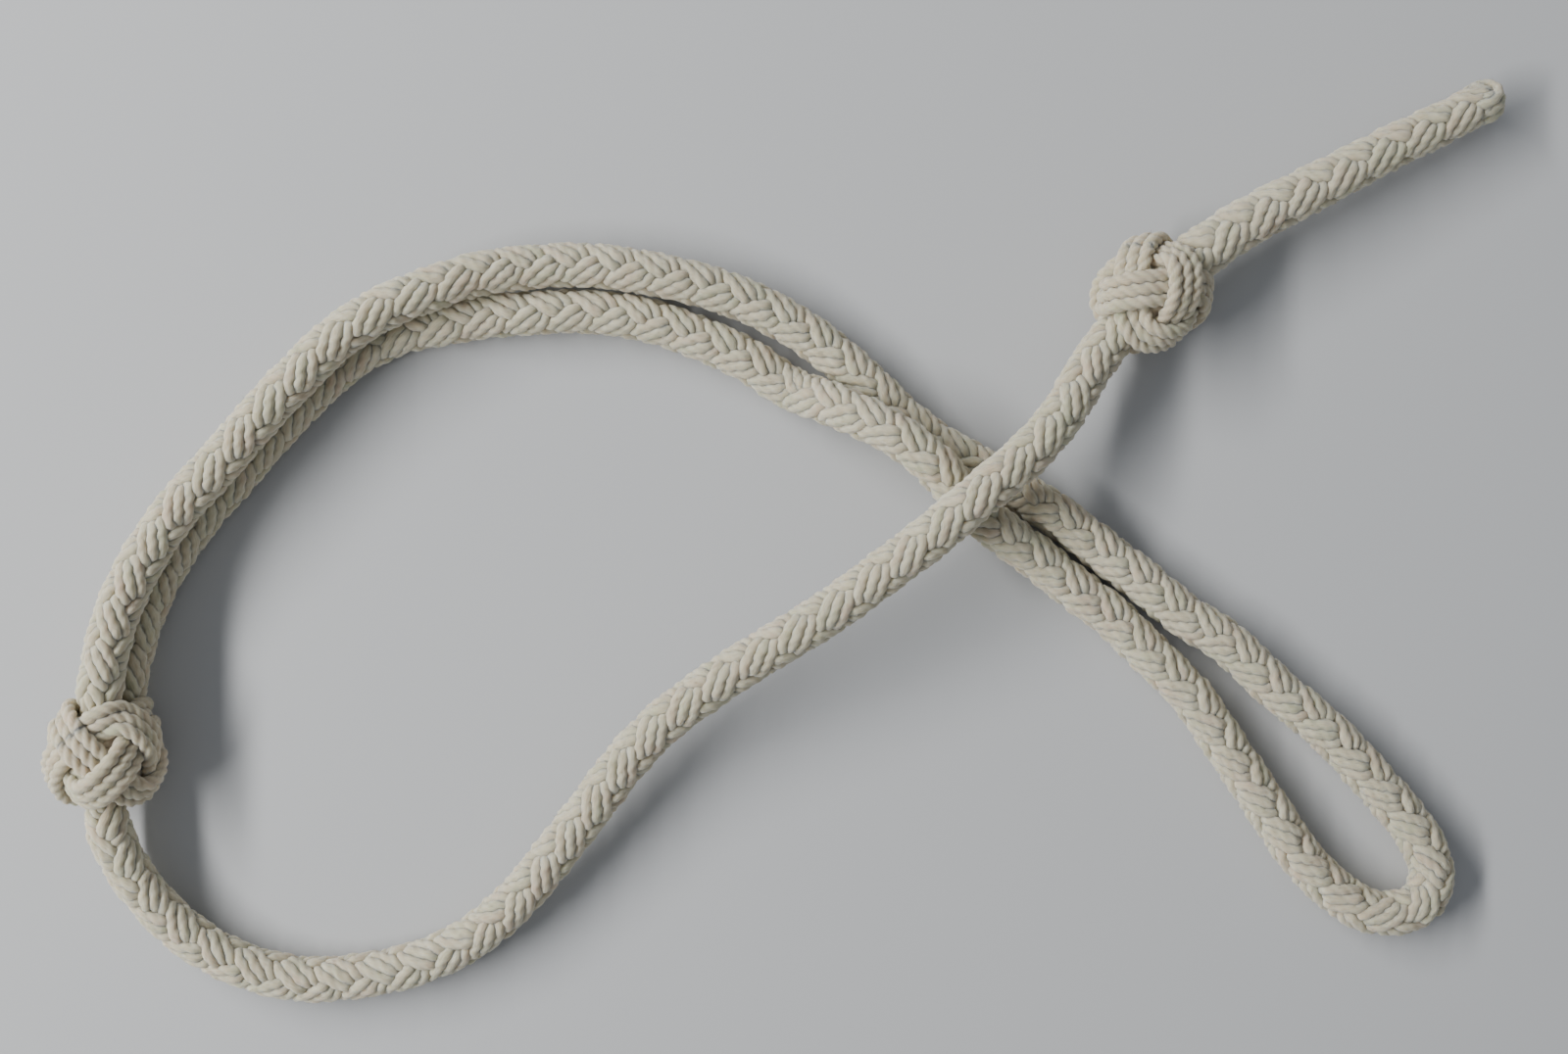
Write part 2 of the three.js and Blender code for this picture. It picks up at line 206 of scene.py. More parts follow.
def smooth_line(points: Array, per_span: int = 30) -> Array:
    """Runs a centripetal spline through points.

    Args:
        points: The points, one row each.
        per_span: How many points are made between two given ones.

    Returns:
        The points of the spline.
    """
    p = np.asarray(points, float)
    ends = np.vstack([2 * p[0] - p[1], p, 2 * p[-1] - p[-2]])
    t = np.linspace(0, 1, per_span, endpoint=False)[:, None]
    out = []
    for i in range(len(p) - 1):
        a, b, c, d = ends[i : i + 4]
        ab, bc, cd = (math.sqrt(np.linalg.norm(q - r)) for q, r in ((a, b), (b, c), (c, d)))
        leave = ((b - a) / ab - (c - a) / (ab + bc) + (c - b) / bc) * bc
        arrive = ((c - b) / bc - (d - b) / (bc + cd) + (d - c) / cd) * bc
        out.append(
            b
            + leave * t
            + (-3 * b + 3 * c - 2 * leave - arrive) * t**2
            + (2 * b - 2 * c + leave + arrive) * t**3
        )
    out.append(p[-1:])
    return np.vstack(out)


class Line:
    """A line in space that is read by the length along it."""

    def __init__(self, points: Array) -> None:
        """Keeps the points and the length at each.

        Args:
            points: The line's points, one row each.
        """
        self.points = np.asarray(points, float)
        gaps = np.linalg.norm(np.diff(self.points, axis=0), axis=1)
        self.along = np.concatenate([[0.0], np.cumsum(gaps)])
        self.length = float(self.along[-1])

    def at(self, s: Array) -> Array:
        """The places at lengths s, which run straight on past both ends."""
        inside = np.clip(s, 0, self.length)
        place = np.stack([np.interp(inside, self.along, self.points[:, k]) for k in range(3)], 1)
        return place + (s - inside)[:, None] * self.direction(inside)

    def direction(self, s: Array) -> Array:
        """The unit directions, taken over a millimetre each way.

        Args:
            s: The lengths along the line.

        Returns:
            A direction for each length.
        """
        reach = 1.0
        ahead = np.clip(s + reach, 0, self.length)
        behind = np.clip(s - reach, 0, self.length)
        gap = np.stack(
            [
                np.interp(ahead, self.along, self.points[:, k])
                - np.interp(behind, self.along, self.points[:, k])
                for k in range(3)
            ],
            1,
        )
        return gap / np.linalg.norm(gap, axis=1)[:, None]

    def nearest(self, place: Array) -> float:
        """The length at the line's nearest point to a place."""
        return float(self.along[np.argmin(np.linalg.norm(self.points - place, axis=1))])


def carried_frames(lines: Array) -> tuple[Array, Array]:
    """Carries a cross direction along several lines at once without letting it twist.

    Args:
        lines: The lines' points, as lines by points by 3.

    Returns:
        Two cross directions at each point, at right angles to the line and to each other.
    """
    step = np.gradient(lines, axis=1)
    tangent = step / np.linalg.norm(step, axis=2)[..., None]
    first = np.cross(tangent[:, 0], UP + 0.01)
    side = np.empty_like(lines)
    side[:, 0] = first / np.linalg.norm(first, axis=1)[:, None]
    for i in range(1, lines.shape[1]):
        t = tangent[:, i]
        kept = side[:, i - 1] - np.sum(side[:, i - 1] * t, axis=1)[:, None] * t
        side[:, i] = kept / np.linalg.norm(kept, axis=1)[:, None]
    return side, np.cross(tangent, side)


# ---------------------------------------------------------------- the rope's routes


@dataclass
class Routes:
    """The middle lines of the rope, which lie where the frame's solids do.

    The doubled stretch is given as stations on the line between its two legs: x, y, roll in degrees
    (90 has the outer leg on top, 0 has them side by side, less than 0 has the inner leg higher), extra
    space between them, and how far the pair is raised to the base knot's axis.
    """

    braid: float = 11.2
    leg_gap: float = 0.7
    lift: float = 0.2
    base_axis: float = 15.05
    toggle_axis: float = 13.1
    over: float = 24.85
    shift: tuple[float, float, float] = (-0.03, 0.015, 0.0)
    pair: tuple[tuple[float, ...], ...] = (
        (-165.0, -51.5, 80, 0, 1),
        (-165.0, -44.0, 80, 0, 1),
        (-163.5, -36.5, 78, 0, 0.9),
        (-162.0, -27.0, 76, 0, 0.65),
        (-158.5, -14.5, 75, 0, 0.3),
        (-152.5, -2.5, 75, 0, 0.08),
        (-144.5, 9.0, 75, 0, 0),
        (-135.0, 19.5, 76, 0, 0),
        (-126.0, 30.0, 76, 0, 0),
        (-116.5, 40.0, 75, 0, 0),
        (-106.0, 49.5, 70, 0, 0),
        (-95.0, 56.0, 62, 0, 0),
        (-84.0, 59.5, 48, 0, 0),
        (-73.0, 62.5, 33, 0, 0),
        (-60.5, 64.0, 22, 0, 0),
        (-46.0, 64.5, 18, 0, 0),
        (-31.0, 62.5, 18, 0, 0),
        (-16.5, 58.5, 10, 1.0, 0),
        (-3.5, 53.0, 5, 1.4, 0),
        (8.5, 45.5, 0, 1.6, 0),
        (20.5, 38.0, -38, 0, 0),
        (30.5, 31.0, -62, 0, 0),
        (40.5, 23.5, -66, 0, 0),
        (49.0, 17.0, -46, 0, 0),
        (57.5, 10.5, -26, 0, 0),
        (70.5, 1.5, -8, 0, 0),
        (80.0, -6.0, -5, 0, 0),
        (90.5, -14.0, 0, 0, 0),
        (100.0, -22.5, 0, 1.2, 0),
        (110.5, -31.0, 0, 4.0, 0),
    )
    eye_end: tuple[tuple[float, float], ...] = (
        (128.0, -36.5),
        (140.0, -46.5),
        (150.0, -57.0),
        (159.5, -68.0),
        (165.0, -76.0),
        (167.0, -83.5),
        (164.5, -90.0),
        (158.0, -93.0),
        (150.0, -92.0),
        (141.5, -86.5),
        (133.0, -77.5),
        (126.0, -67.0),
        (118.5, -56.0),
        (111.5, -45.5),
    )
    standing_down: tuple[tuple[float, float, float], ...] = (
        (-164.5, -51.5, 1),
        (-165.0, -59.0, 1),
        (-165.0, -68.0, 0.85),
        (-162.0, -78.5, 0.58),
        (-155.0, -89.5, 0.34),
        (-145.5, -99.0, 0.16),
        (-133.0, -106.0, 0.06),
        (-119.0, -109.5, 0.02),
    )
    standing_up: tuple[tuple[float, float, float], ...] = (
        (-105.0, -109.0, 0.01),
        (-90.5, -106.0, 0.04),
        (-77.0, -100.0, 0.09),
        (-64.5, -90.0, 0.17),
        (-54.5, -78.0, 0.27),
        (-45.5, -66.5, 0.36),
        (-36.5, -54.5, 0.44),
        (-26.5, -44.0, 0.52),
        (-14.0, -34.5, 0.61),
        (0.0, -25.5, 0.7),
        (14.5, -16.5, 0.79),
        (28.0, -6.5, 0.89),
        (41.0, 3.5, 0.98),
        (51.5, 12.5, 1),
    )
    free_end: tuple[tuple[float, float, float], ...] = (
        (64.0, 23.0, 0.74),
        (73.0, 33.5, 0.48),
        (79.5, 44.0, 0.22),
        (87.0, 54.0, 0.05),
        (95.0, 62.5, 0),
    )
    tail_end: tuple[tuple[float, float, float], ...] = (
        (95.0, 62.5, 0),
        (106.5, 72.0, 0.1),
        (119.0, 80.5, 0.3),
        (135.5, 89.0, 0.9),
        (152.5, 98.0, 1.7),
        (168.0, 105.5, 2.6),
        (180.4, 111.9, 3.4),
    )

    @property
    def lying(self) -> float:
        """The height of the rope's middle where it lies on the surface."""
        return self.braid / 2 + self.lift

    def leg(self, side: int) -> Array:
        """The stations of one leg.

        Args:
            side: 1 for the outer leg, -1 for the inner one.

        Returns:
            The leg's middle at each station.
        """
        places = []
        for i, (x, y, roll, part, raised) in enumerate(self.pair):
            before = np.array(self.pair[max(i - 1, 0)][:2])
            after = np.array(self.pair[min(i + 1, len(self.pair) - 1)][:2])
            along = (after - before) / np.linalg.norm(after - before)
            half = (self.braid + self.leg_gap + part) / 2
            angle = math.radians(roll)
            resting = self.lying + half * abs(math.sin(angle))
            middle = resting + raised * (self.base_axis - resting)
            out = side * half * math.cos(angle)
            height = middle + side * half * math.sin(angle)
            places.append((x - along[1] * out, y + along[0] * out, height))
        return np.array(places)

    def line(self, points: Array) -> Line:
        """A smooth line through points, at its place in the frame."""
        return Line(smooth_line(points) + np.array(self.shift))

    def eye(self) -> Line:
        """Down the outer leg, round the bight and back up the inner leg."""
        lying = np.array([(x, y, self.lying) for x, y in self.eye_end])
        return self.line(np.vstack([self.leg(1), lying, self.leg(-1)[::-1]]))

    def standing(self) -> Line:
        """From the base knot, round and over the eye, into the toggle knot.

        Returns:
            The line.
        """
        low, base, toggle = self.lying, self.base_axis, self.toggle_axis
        points = [(x, y, low + h * (base - low)) for x, y, h in self.standing_down]
        points += [(x, y, low + h * (self.over - low)) for x, y, h in self.standing_up]
        points += [(x, y, toggle + h * (self.over - toggle)) for x, y, h in self.free_end]
        return self.line(np.array(points))

    def tail(self) -> Line:
        """From the toggle knot to the tip."""
        return self.line(np.array([(x, y, self.toggle_axis - drop) for x, y, drop in self.tail_end]))


# ---------------------------------------------------------------- finishes


def linear(hex_colour: str) -> tuple[float, float, float, float]:
    """Turns an sRGB colour such as "#d8d4c6" into linear red, green, blue and full alpha."""
    parts = [int(hex_colour[i : i + 2], 16) / 255 for i in (1, 3, 5)]
    made = [v / 12.92 if v <= 0.04045 else ((v + 0.055) / 1.055) ** 2.4 for v in parts]
    return (made[0], made[1], made[2], 1.0)


def add_node(
    tree: bpy.types.NodeTree,
    kind: str,
    inputs: Mapping[str | int, object] | None = None,
    **settings: object,
) -> bpy.types.Node:
    """Adds a node with its settings and links.

    Args:
        tree: The material's or world's nodes.
        kind: The node's type.
        inputs: A value or another node's output for each input, by its name or number.
        **settings: The node's own settings.

    Returns:
        The node.
    """
    made = tree.nodes.new(kind)
    for key, value in settings.items():
        setattr(made, key, value)
    for key, value in (inputs or {}).items():
        if isinstance(value, bpy.types.NodeSocket):
            tree.links.new(value, made.inputs[key])
        else:
            made.inputs[key].default_value = value
    return made


@dataclass(frozen=True)
class SpunCotton:
    """Undyed cotton yarn, spun soft, plied and then worked by hand.

    To the eye it is a warm off-white that drifts a little towards pink and green from yarn to yarn, dull,
    with a pale bloom of loose fibre where it turns away, and fine lines along the twist whose hollows are
    darkened with painted shade. Light bleeds a few millimetres into it, which fills the grooves between
    the cords with warm light.
    """

    name: str
    light: str = "#cbc4ac"
    pink: str = "#c6b29c"
    green: str = "#b5b699"
    # painted shade: the darker colour put into the hollows of the fibre relief
    painted_fibre_shade: str = "#9c9078"
    roughness: float = 0.95
    sheen: float = 0.3
    fibre_gap: float = 0.45  # real fibres are a fiftieth of this: drawn coarser so that their run shows
    fibre_run: float = 2.4
    fibre_depth: float = 0.35
    drift_length: float = 16.0
    patch_length: float = 5.0
    twist: float = 28.0
    bleed: float = 2.8

    def material(self) -> bpy.types.Material:
        """Makes the material from the cord map, whose units are millimetres round and along the cord.

        Returns:
            The material.
        """
        made = bpy.data.materials.new(self.name)
        made.use_nodes = True
        tree = made.node_tree
        tree.nodes.clear()
        cord = add_node(tree, "ShaderNodeUVMap", uv_map="cord").outputs["UV"]
        fibres = add_node(
            tree,
            "ShaderNodeMapping",
            {
                "Vector": cord,
                "Rotation": (0, 0, math.radians(self.twist)),
                "Scale": (1 / self.fibre_gap, 1 / self.fibre_run, 1),
            },
        ).outputs["Vector"]
        run = add_node(tree, "ShaderNodeTexNoise", {"Vector": fibres, "Scale": 1.0, "Detail": 3.0})
        drift = add_node(
            tree,
            "ShaderNodeTexNoise",
            {"Vector": cord, "Scale": 1 / self.drift_length, "Detail": 2.0, "Roughness": 0.6},
        )
        patch = add_node(
            tree,
            "ShaderNodeTexNoise",
            {"Vector": cord, "Scale": 1 / self.patch_length, "Detail": 3.0, "Roughness": 0.6},
        )
        hue = add_node(
            tree,
            "ShaderNodeMapRange",
            {"Value": drift.outputs["Fac"], "From Min": 0.36, "From Max": 0.64},
        )
        tint = add_node(
            tree,
            "ShaderNodeMix",
            {0: hue.outputs["Result"], 6: linear(self.pink), 7: linear(self.green)},
            data_type="RGBA",
        )
        pale = add_node(
            tree,
            "ShaderNodeMapRange",
            {"Value": patch.outputs["Fac"], "From Min": 0.3, "From Max": 0.62},
        )
        base = add_node(
            tree,
            "ShaderNodeMix",
            {0: pale.outputs["Result"], 6: tint.outputs[2], 7: linear(self.light)},
            data_type="RGBA",
        )
        # painted shade: where the fibre noise, which also sets the bump's height, is low, the colour moves up to 0.35
        # of the way to the darker colour
        shade = add_node(
            tree,
            "ShaderNodeMapRange",
            {
                "Value": run.outputs["Fac"],
                "From Min": 0.25,
                "From Max": 0.55,
                "To Min": 0.35,
                "To Max": 0.0,
            },
        )
        colour = add_node(
            tree,
            "ShaderNodeMix",
            {0: shade.outputs["Result"], 6: base.outputs[2], 7: linear(self.painted_fibre_shade)},
            data_type="RGBA",
        )
        relief = add_node(
            tree,
            "ShaderNodeBump",
            {"Height": run.outputs["Fac"], "Strength": 0.6, "Distance": self.fibre_depth * MM},
        )
        shader = add_node(
            tree,
            "ShaderNodeBsdfPrincipled",
            {
                "Base Color": colour.outputs[2],
                "Roughness": self.roughness,
                "Specular IOR Level": 0.15,
                "Subsurface Weight": 0.85,
                "Subsurface Scale": self.bleed * MM,
                "Subsurface Radius": (1.0, 0.85, 0.65),
                "Sheen Weight": self.sheen,
                "Sheen Roughness": 0.6,
                "Normal": relief.outputs["Normal"],
            },
        )
        add_node(
            tree,
            "ShaderNodeOutputMaterial",
            {"Surface": shader.outputs["BSDF"]},
        )
        return made


@dataclass(frozen=True)
class PaperSweep:
    """A matt paper backdrop, rolled out flat: an even pale grey with a barely seen mottle."""

    name: str = "matt_grey_paper_sweep"
    colour: str = "#bebfbf"
    mottle: str = "#babbbc"

    def material(self) -> bpy.types.Material:
        """Makes the material.

        Returns:
            The material.
        """
        made = bpy.data.materials.new(self.name)
        made.use_nodes = True
        tree = made.node_tree
        tree.nodes.clear()
        place = add_node(tree, "ShaderNodeTexCoord").outputs["Object"]
        cloud = add_node(tree, "ShaderNodeTexNoise", {"Vector": place, "Scale": 6.0, "Detail": 4.0})
        colour = add_node(
            tree,
            "ShaderNodeMix",
            {0: cloud.outputs["Fac"], 6: linear(self.colour), 7: linear(self.mottle)},
            data_type="RGBA",
        )
        shader = add_node(
            tree,
            "ShaderNodeBsdfPrincipled",
            {"Base Color": colour.outputs[2], "Roughness": 0.9, "Specular IOR Level": 0.2},
        )
        add_node(tree, "ShaderNodeOutputMaterial", {"Surface": shader.outputs["BSDF"]})
        return made


# ---------------------------------------------------------------- cords as meshes


@dataclass(frozen=True)
class LooseFibres:
    """The fibres that stand off a cord, each one long thin triangle.

    They are drawn a few times as thick as cotton fibre, so that they show as a pale fringe.
    """

    patch: float = 3.0  # the square millimetres of cord that a yarn's fuzz is a number of fibres on
    sideways: float = 0.7
    lengths: tuple[float, float] = (0.5, 1.9)
    lifts: tuple[float, float] = (0.1, 0.55)
    half_width: float = 0.045
    off_floor: float = 0.1

    def grow(self, random: np.random.Generator, lines: Array, rings: Array, count: int) -> Array:
        """Scatters fibres over cords.

        Args:
            random: Where the scatter comes from.
            lines: The cords' middles, as cords by points by 3.
            rings: The cords' skin, as cords by points by sides by 3.
            count: How many fibres there are.

        Returns:
            The fibres, as fibres by 3 corners by 3.
        """
        c = random.integers(0, rings.shape[0], count)
        i = random.integers(1, rings.shape[1] - 1, count)
        j = random.integers(0, rings.shape[2], count)
        root = rings[c, i, j]
        out = root - lines[c, i]
        out /= np.linalg.norm(out, axis=1)[:, None] + TINY
        run = rings[c, i + 1, j] - rings[c, i - 1, j]
        run /= np.linalg.norm(run, axis=1)[:, None] + TINY
        lean = random.uniform(-1, 1, (count, 1)) * run
        lean = lean + random.uniform(-self.sideways, self.sideways, (count, 1)) * np.cross(run, out)
        length = random.uniform(*self.lengths, (count, 1))
        tip = root + length * (lean + random.uniform(*self.lifts, (count, 1)) * out)
        tip[:, 2] = np.maximum(tip[:, 2], self.off_floor)
        width = self.half_width * np.cross(out, lean)
        return np.stack([root - width, root + width, tip], 1)


@dataclass
class Yarn:
    """A plied cord: how thick it is, and how its plies, slubs and loose fibres show.

    The groove and the slub are shares of the radius, and the slub waves are their lengths along the cord.
    """

    diameter: float = 2.84
    plies: int = 3
    pitch: float = 9.0
    groove: float = 0.19
    slub: float = 0.07
    sides: int = 15
    fuzz: float = 2.0
    crest: float = 0.4
    slub_waves: tuple[float, ...] = (5.0, 9.0, 17.0)
    fibres: LooseFibres = LooseFibres()

    def tubes(self, lines: Array, girth: Array | None = None, seed: int = 0) -> "Skin":
        """Skins several cords that all have as many points.

        Args:
            lines: The cords' middles, as cords by points by 3.
            girth: A share of the diameter at each point, or None for all of it.
            seed: Picks each cord's own twist and slubs.

        Returns:
            The cords' skin.
        """
        random = np.random.default_rng(SEED + seed)
        count, long, _ = lines.shape
        gaps = np.linalg.norm(np.diff(lines, axis=1), axis=2)
        along = np.concatenate([np.zeros((count, 1)), np.cumsum(gaps, axis=1)], axis=1)
        side, over = carried_frames(lines)
        turn = 2 * np.pi * np.arange(self.sides) / self.sides
        phase = random.uniform(0, 2 * np.pi, (count, 1))
        ply = self.plies * (turn[None, None, :] - (2 * np.pi * along / self.pitch + phase)[..., None])
        hollow = (0.5 - 0.5 * np.cos(ply)) ** 2
        radius = (self.diameter / 2) * (1.0 + self.crest * self.groove - self.groove * hollow)
        radius = radius * (1 + self.slub * self._slubs(random, along))[..., None]
        if girth is not None:
            radius = radius * girth[..., None]
        end = np.minimum(along, along[:, -1:] - along) / (self.diameter / 2)
        domed = np.sqrt(np.clip(1 - (1 - np.clip(end, END_POINT, 1)) ** 2, 0, 1))
        radius = radius * domed[..., None]
        rings = lines[:, :, None] + radius[..., None] * (
            side[:, :, None] * np.cos(turn)[None, None, :, None]
            + over[:, :, None] * np.sin(turn)[None, None, :, None]
        )
        around = np.pi * self.diameter * np.arange(self.sides + 1) / self.sides
        starts = random.uniform(0, MAP_LENGTH, count)
        number = int(self.fuzz * np.pi * self.diameter * along[:, -1].sum() / self.fibres.patch)
        hairs = self.fibres.grow(random, lines, rings, number)
        return Skin(rings, around, along + starts[:, None], hairs)

    def _slubs(self, random: np.random.Generator, along: Array) -> Array:
        """Thick and thin places along each cord, from -1 to 1."""
        total = np.zeros_like(along)
        for wave in self.slub_waves:
            total += np.sin(2 * np.pi * along / wave + random.uniform(0, 2 * np.pi, (len(along), 1)))
        return total / len(self.slub_waves)


@dataclass
class Skin:
    """Rings of points along several cords, with the cord map's two scales and the loose fibres."""

    rings: Array
    around: Array
    along: Array
    hairs: Array

    def build(self, name: str, material: bpy.types.Material) -> bpy.types.Object:
        """Makes the mesh, in metres, with the cord map on it.

        Args:
            name: The piece's name.
            material: Its finish.

        Returns:
            The piece, not yet riding on anything.
        """
        count, long, sides, _ = self.rings.shape
        points = self.rings.reshape(-1, 3) * MM
        first = np.arange(count)[:, None, None] * long * sides
        ring = first + np.arange(long - 1)[None, :, None] * sides
        here = np.arange(sides)[None, None, :]
        there = (here + 1) % sides
        quads = np.stack([ring + here, ring + there, ring + there + sides, ring + here + sides], -1)
        shape = (count, long - 1, sides)
        low = np.broadcast_to(self.along[:, :-1, None], shape)
        high = np.broadcast_to(self.along[:, 1:, None], shape)
        left = np.broadcast_to(self.around[None, None, :-1], shape)
        right = np.broadcast_to(self.around[None, None, 1:], shape)
        corners = np.stack([left, low, right, low, right, high, left, high], -1).reshape(-1, 2)
        faces = quads.reshape(-1, 4).tolist()
        caps, cap_map = [], []
        for c in range(count):
            for end, backwards in ((0, True), (long - 1, False)):
                loop = list(c * long * sides + end * sides + np.arange(sides))
                caps.append([int(v) for v in (loop[::-1] if backwards else loop)])
                cap_map += [(0.0, float(self.along[c, end]))] * sides
        hairs = (len(points) + np.arange(3 * len(self.hairs))).reshape(-1, 3).tolist()
        points = np.vstack([points, self.hairs.reshape(-1, 3) * MM])
        mesh = bpy.data.meshes.new(name)
        mesh.from_pydata(points.tolist(), [], faces + caps + hairs)
        layer = mesh.uv_layers.new(name="cord")
        hair_map = np.zeros((3 * len(self.hairs), 2))
        layer.data.foreach_set("uv", np.vstack([corners, cap_map, hair_map]).astype(np.float32).ravel())
        mesh.shade_smooth()
        mesh.materials.append(material)
        piece = bpy.data.objects.new(name, mesh)
        bpy.context.scene.collection.objects.link(piece)
        return piece


# ---------------------------------------------------------------- the braid


@dataclass
class BraidCell:
    """How twelve cords lie in one lay of a round braid of four strands, three cords to a strand.

    Two strands wind one way and two the other, each over on two faces of the rope and under on the other
    two. The cords start on that path and then settle against one another until none lies in another. The
    crown is how much lower a strand's outer cords lie than its middle one, and the two nearnesses are how
    much of a cord's thickness two touching cords keep between their middles.
    """

    lay: float = 22.2
    radius: float = 5.75
    cord: float = 2.8
    over: float = 4.3
    under: float = 1.9
    crown: float = 0.1
    abreast: float = 1.05
    near_in_strand: float = 0.93
    near_across: float = 0.96
    push_share: float = 0.16
    taut_share: float = 0.12
    samples: int = 48
    rounds: int = 300

    def __post_init__(self) -> None:
        """Settles the cords once."""
        self.places = self._settle(self._start())

    def _start(self) -> Array:
        """Lays the cords before they settle.

        Returns:
            Their places, as cords by samples by 2.
        """
        turn = 2 * np.pi * np.arange(self.samples) / self.samples
        cords = []
        for way in (1, -1):
            for half in (0, np.pi):
                angle = turn + half
                middle = (
                    (self.over * np.cos(angle), self.under * np.sin(angle))
                    if way > 0
                    else (self.under * np.cos(angle), -self.over * np.sin(angle))
                )
                for step in (-1, 0, 1):
                    offset = self.abreast * step * self.cord
                    x = middle[0] - offset * np.sin(way * angle)
                    y = middle[1] + offset * np.cos(way * angle)
                    cords.append(np.stack([x, y], 1))
        return np.array(cords)

    def _settle(self, places: Array) -> Array:
        """Pulls the cords taut, keeps them out of each other and inside the rope.

        Args:
            places: The cords before.

        Returns:
            The cords after.
        """
        step = self.lay / self.samples
        reach = int(math.ceil(self.cord / step))
        other_cord = 1 - np.eye(len(places))[:, :, None]
        strand = np.arange(len(places)) // 3
        same_strand = (strand[:, None] == strand[None])[:, :, None]
        contact = np.where(same_strand, self.near_in_strand, self.near_across) * self.cord
        edge = np.abs(np.arange(len(places)) % 3 - 1)[:, None]
        for _ in range(self.rounds):
            taut = np.roll(places, 1, 1) + np.roll(places, -1, 1) - 2 * places
            push = np.zeros_like(places)
            for k in range(-reach, reach + 1):
                gap = places[:, None] - np.roll(places, k, 1)[None]
                far = np.sqrt((gap**2).sum(-1) + (k * step) ** 2) + TINY
                deep = np.clip(contact - far, 0, None) * other_cord
                push += (gap * (deep / far)[..., None]).sum(1)
            places = places + self.push_share * push + self.taut_share * taut
            out = np.linalg.norm(places, axis=-1)
            limit = self.radius - self.cord / 2 - self.crown * edge
            hold = np.minimum(1, limit / np.maximum(out, TINY))
            places = places * hold[..., None]
        return places

    def at(self, share: Array) -> Array:
        """Reads the settled cords.

        Args:
            share: Places along the rope, in lays.

        Returns:
            The cords' places there, as cords by shares by 2.
        """
        where = (share % 1.0) * self.samples
        low = np.floor(where).astype(int) % self.samples
        part = (where - np.floor(where))[None, :, None]
        return self.places[:, low] * (1 - part) + self.places[:, (low + 1) % self.samples] * part


@dataclass
class Braid:
    """One length of the braid, as four strands of three cords.

    Rolls are degrees about the line, and girths are shares of the full thickness, each at a share of the
    length. Each cord wanders off its place by up to the wander, in waves of three lengths.
    """

    name: str
    line: Line
    cell: BraidCell
    yarn: Yarn
    rolls: Sequence[tuple[float, float]]
    girths: Sequence[tuple[float, float]] = ((0.0, 1.0), (1.0, 1.0))
    step: float = 0.6
    start: float = 0.3
    end: float = 0.3
    phase: float = 0.0
    wander: float = 0.07
    wander_waves: tuple[float, ...] = (8.0, 13.0, 29.0)
    path_step: float = 4.0
    seed: int = 0
    strands: list[bpy.types.Object] = field(default_factory=list)

    def cords(self) -> tuple[Array, Array]:
        """The middles of the twelve cords.

        Returns:
            The cords, as cords by points by 3, and the girth at each point.
        """
        count = int((self.line.length - self.start - self.end) / self.step)
        s = np.linspace(self.start, self.line.length - self.end, count)
        along = self.line.direction(s)
        side = np.cross(along, UP)
        side /= np.linalg.norm(side, axis=1)[:, None]
        top = np.cross(side, along)
        share = s / self.line.length
        roll = np.radians(np.interp(share, *zip(*self.rolls)))
        girth = np.interp(share, *zip(*self.girths))
        across = side * np.cos(roll)[:, None] + top * np.sin(roll)[:, None]
        height = -side * np.sin(roll)[:, None] + top * np.cos(roll)[:, None]
        places = self.cell.at(s / self.cell.lay + self.phase) * girth[None, :, None]
        random = np.random.default_rng(SEED + self.seed)
        for wave in self.wander_waves:
            shift = random.uniform(0, 2 * np.pi, (len(places), 1, 2))
            sway = np.sin(2 * np.pi * s[None, :, None] / wave + shift)
            places = places + self.wander * sway / (len(self.wander_waves) / 2)
        middles = (
            self.line.at(s)[None]
            + places[..., :1] * across[None]
            + places[..., 1:] * height[None]
        )
        return middles, np.broadcast_to(girth, middles.shape[:2])

    def build(self, material: bpy.types.Material) -> list[bpy.types.Object]:
        """Makes the four strands.

        Args:
            material: Their finish.

        Returns:
            The strands.
        """
        middles, girth = self.cords()
        for k in range(len(middles) // 3):
            three = slice(3 * k, 3 * k + 3)
            skin = self.yarn.tubes(middles[three], girth[three], self.seed + k)
            self.strands.append(skin.build(f"{self.name}_strand_{k + 1}", material))
        return self.strands

    def declare(self, far_end: str) -> None:
        """Args:
            far_end: What its far end is.
        """
        path = [tuple(p) for p in self.line.at(np.arange(0, self.line.length, self.path_step)) * MM]
        path.append(tuple(self.line.points[-1] * MM))
        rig.cord(
            self.strands[0],
            exit=path[0],
            length=self.line.length * MM,
            diameter=2 * self.cell.radius * MM,
            far_end=far_end,
            stiffness="limp",
            lay="loose",
            path=path,
            with_pieces=self.strands[1:],
        )


# ---------------------------------------------------------------- the knots


